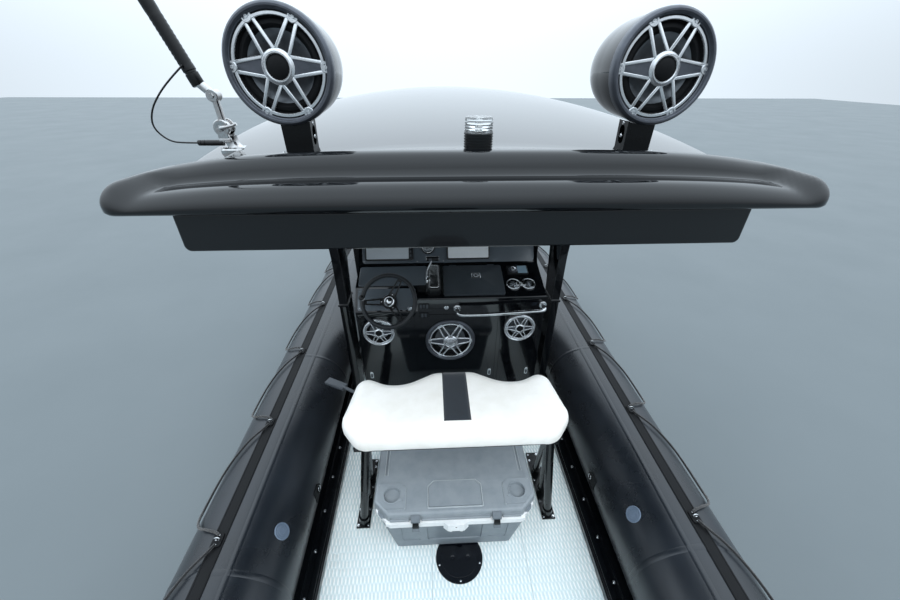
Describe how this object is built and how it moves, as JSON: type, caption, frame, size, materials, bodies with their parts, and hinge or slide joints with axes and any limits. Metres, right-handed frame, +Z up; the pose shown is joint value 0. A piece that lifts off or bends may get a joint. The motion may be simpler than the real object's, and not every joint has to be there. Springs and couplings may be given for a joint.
{
  "type": "rigid inflatable boat with hardtop and outboard engine",
  "caption": "Rigid inflatable boat: deep-vee hull, air tubes with lifelines, console, leaning post with ice chest, hardtop, tower speakers, tilting outboard.",
  "frame": {"origin": "middle of the boat at the waterline, on the centre line", "axes": "+X to starboard, +Y to the bow, +Z up"},
  "size_m": [2.9719, 8.0486, 5.5052],
  "materials": {
    "tube_fabric": "satin coated fabric",
    "tube_trim": "matt rubber",
    "rope": "braided polyester",
    "valve_grey": "satin",
    "black_gelcoat": "polished gelcoat",
    "deck_white": "moulded non-skid",
    "stainless": "polished",
    "black_plastic": "moulded",
    "black_coating": "satin powder coat",
    "white_vinyl": "smooth marine vinyl",
    "grey_plastic": "moulded",
    "chest_grey": "rotomoulded",
    "chest_white": "moulded",
    "speaker_grey": "satin metallic",
    "clear_acrylic": "clear",
    "wheel_grip": "satin",
    "cable_black": "satin",
    "engine_paint": "gloss",
    "engine_block": "as cast"
  },
  "bodies": {
    "root": {"tube_starboard": "tube_fabric", "tube_port": "tube_fabric", "lifeline_band_starboard": "tube_trim", "lifeline_band_port": "tube_trim", "rub_strake_starboard": "tube_trim", "rub_strake_port": "tube_trim", "lifeline_starboard": "rope", "lifeline_port": "rope", "lifeline_eyes": "black_plastic", "tube_valves": "valve_grey", "tube_rings": "tube_trim", "side_rail_starboard": "black_gelcoat", "side_rail_port": "black_gelcoat", "hull": "black_gelcoat", "deck_sheet": "deck_white", "foredeck": "black_gelcoat", "transom": "black_gelcoat", "bow_eye": "stainless", "stern_eyes": "stainless", "inspection_plate": "black_plastic", "post_frame": "black_coating", "seat_cushion": "white_vinyl", "seat_handle": "grey_plastic", "chest_body": "chest_grey", "chest_trim": "chest_white", "console": "black_gelcoat", "cup_holders": "stainless", "stereo_remote": "black_plastic", "throttle": "black_plastic", "displays": "black_plastic", "compass": "black_plastic", "console_speakers": "speaker_grey", "grab_rail": "stainless", "windscreen": "clear_acrylic", "front_cushions": "white_vinyl", "helm_boss": "black_plastic", "t_top_support_starboard": "black_gelcoat", "t_top_support_port": "black_gelcoat", "hardtop": "black_gelcoat", "electronics_box": "black_gelcoat", "speaker_pods": "black_gelcoat", "pod_grilles": "speaker_grey", "pod_brackets": "black_coating", "stern_light": "black_plastic", "light_lens": "clear_acrylic", "aerial_mount": "stainless", "aerial_cable": "cable_black", "cable_gland": "black_plastic", "clamp_bracket": "engine_paint"},
    "chest_lid": {"chest_lid": "chest_grey", "chest_latches": "grey_plastic"},
    "glovebox_lid": {"glovebox_lid": "black_plastic"},
    "wheel": {"steering_wheel": "wheel_grip"},
    "aerial_pole": {"aerial": "black_plastic"},
    "swivel": {"swivel_bracket": "engine_paint"},
    "engine": {"cowl": "engine_paint", "powerhead": "engine_block", "drive_leg": "engine_paint"},
    "propeller": {"propeller": "stainless"}
  },
  "joints": [
    {"name": "chest_lid_hinge", "type": "hinge", "parent": "root", "child": "chest_lid", "pos_m": [-0.025, -0.893, 0.58], "axis": [-1, 0, 0], "range_deg": [0, 45]},
    {"name": "glovebox_hinge", "type": "hinge", "parent": "root", "child": "glovebox_lid", "pos_m": [0.15, -0.13018, 1.33033], "axis": [-1, 0, 0], "range_deg": [0, 80]},
    {"name": "aerial_fold", "type": "hinge", "parent": "root", "child": "aerial_pole", "pos_m": [-0.755, -1.08, 2.30095], "axis": [0, 1, 0], "range_deg": [-60, 24]},
    {"name": "engine_tilt", "type": "hinge", "parent": "root", "child": "swivel", "pos_m": [0, -3.4, 0.34], "axis": [-1, 0, 0], "range_deg": [0, 62]},
    {"name": "engine_steer", "type": "hinge", "parent": "swivel", "child": "engine", "pos_m": [0, -3.53, 0], "axis": [0, 0, 1], "range_deg": [-30, 30]},
    {"name": "propeller_spin", "type": "hinge", "parent": "engine", "child": "propeller", "pos_m": [0, -3.96, -0.56], "axis": [0, 1, 0], "continuous": true},
    {"name": "wheel_turn", "type": "hinge", "parent": "root", "child": "wheel", "pos_m": [-0.38, -0.465, 1.268], "axis": [0, 0.788, -0.6157], "range_deg": [-540, 540]}
  ],
  "couplings": [
    {"joint": "wheel_turn", "follows": "engine_steer", "ratio": 18}
  ]
}
